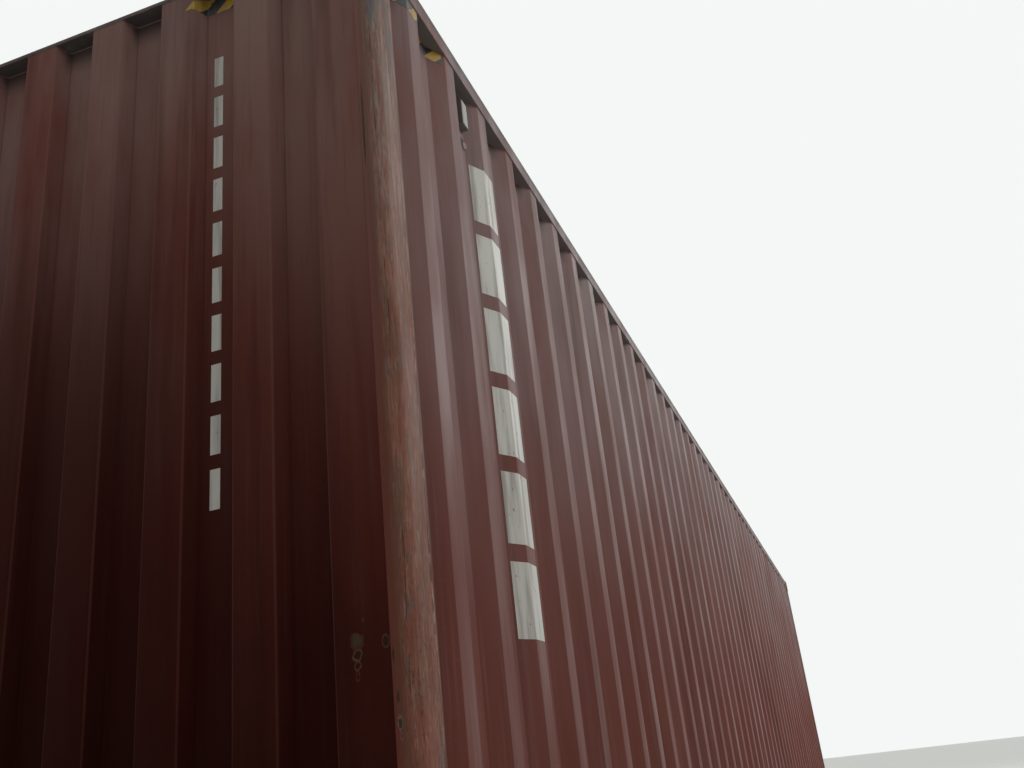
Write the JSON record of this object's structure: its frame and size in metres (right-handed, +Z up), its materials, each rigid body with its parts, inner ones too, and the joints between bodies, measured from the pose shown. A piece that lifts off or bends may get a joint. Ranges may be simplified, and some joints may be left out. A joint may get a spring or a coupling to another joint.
{
  "type": "shipping container",
  "caption": "Forty foot high cube dry freight container with corrugated steel walls, corner castings and closed doors, for cargo by sea, rail and road.",
  "frame": {"origin": "on the ground, in the middle of the container's length and width", "axes": "+X along the container from the closed front end to the doors, +Y to its right side, +Z up"},
  "size_m": [12.192, 2.438, 2.896],
  "materials": {
    "frame_paint": "worn semi-gloss oxide red",
    "wall_paint": "semi-gloss oxide red",
    "roof_paint": "semi-gloss oxide red",
    "base_paint": "dull oxide red",
    "casting_paint": "worn semi-gloss oxide red",
    "door_paint": "semi-gloss oxide red",
    "gear_paint": "semi-gloss oxide red",
    "plywood": "sealed plywood",
    "gasket_rubber": "matt black",
    "pin_steel": "plain",
    "vent_plastic": "matt, painted over"
  },
  "bodies": {
    "root": {"casting_front_left_bottom": "casting_paint", "casting_front_left_top": "casting_paint", "casting_front_right_bottom": "casting_paint", "casting_front_right_top": "casting_paint", "casting_rear_left_bottom": "casting_paint", "casting_rear_left_top": "casting_paint", "casting_rear_right_bottom": "casting_paint", "casting_rear_right_top": "casting_paint", "front_post_left": "frame_paint", "front_post_right": "frame_paint", "rear_post_left": "frame_paint", "rear_post_right": "frame_paint", "front_top_rail": "frame_paint", "front_bottom_rail": "frame_paint", "door_header": "frame_paint", "door_sill": "frame_paint", "top_rail_left": "frame_paint", "top_rail_right": "frame_paint", "bottom_rail_left": "frame_paint", "bottom_rail_right": "frame_paint", "front_wall": "wall_paint", "side_wall_left": "wall_paint", "side_wall_right": "wall_paint", "roof_panel": "roof_paint", "roof_end_plates": "roof_paint", "crossmembers": "base_paint", "tunnel_outriggers": "base_paint", "tunnel_plate": "base_paint", "tunnel_rails": "base_paint", "floor_centre_rail": "base_paint", "floor_boards": "plywood", "door_frame_left": "door_paint", "door_frame_right": "door_paint", "door_panel_left": "door_paint", "door_panel_right": "door_paint", "door_gaskets": "gasket_rubber", "locking_bars": "gear_paint", "bar_brackets": "gear_paint", "cam_keepers": "gear_paint", "door_handles": "gear_paint", "hinge_lugs": "gear_paint", "hinge_blades": "gear_paint", "hinge_pins": "pin_steel", "ventilators": "vent_plastic"}
  },
  "joints": []
}
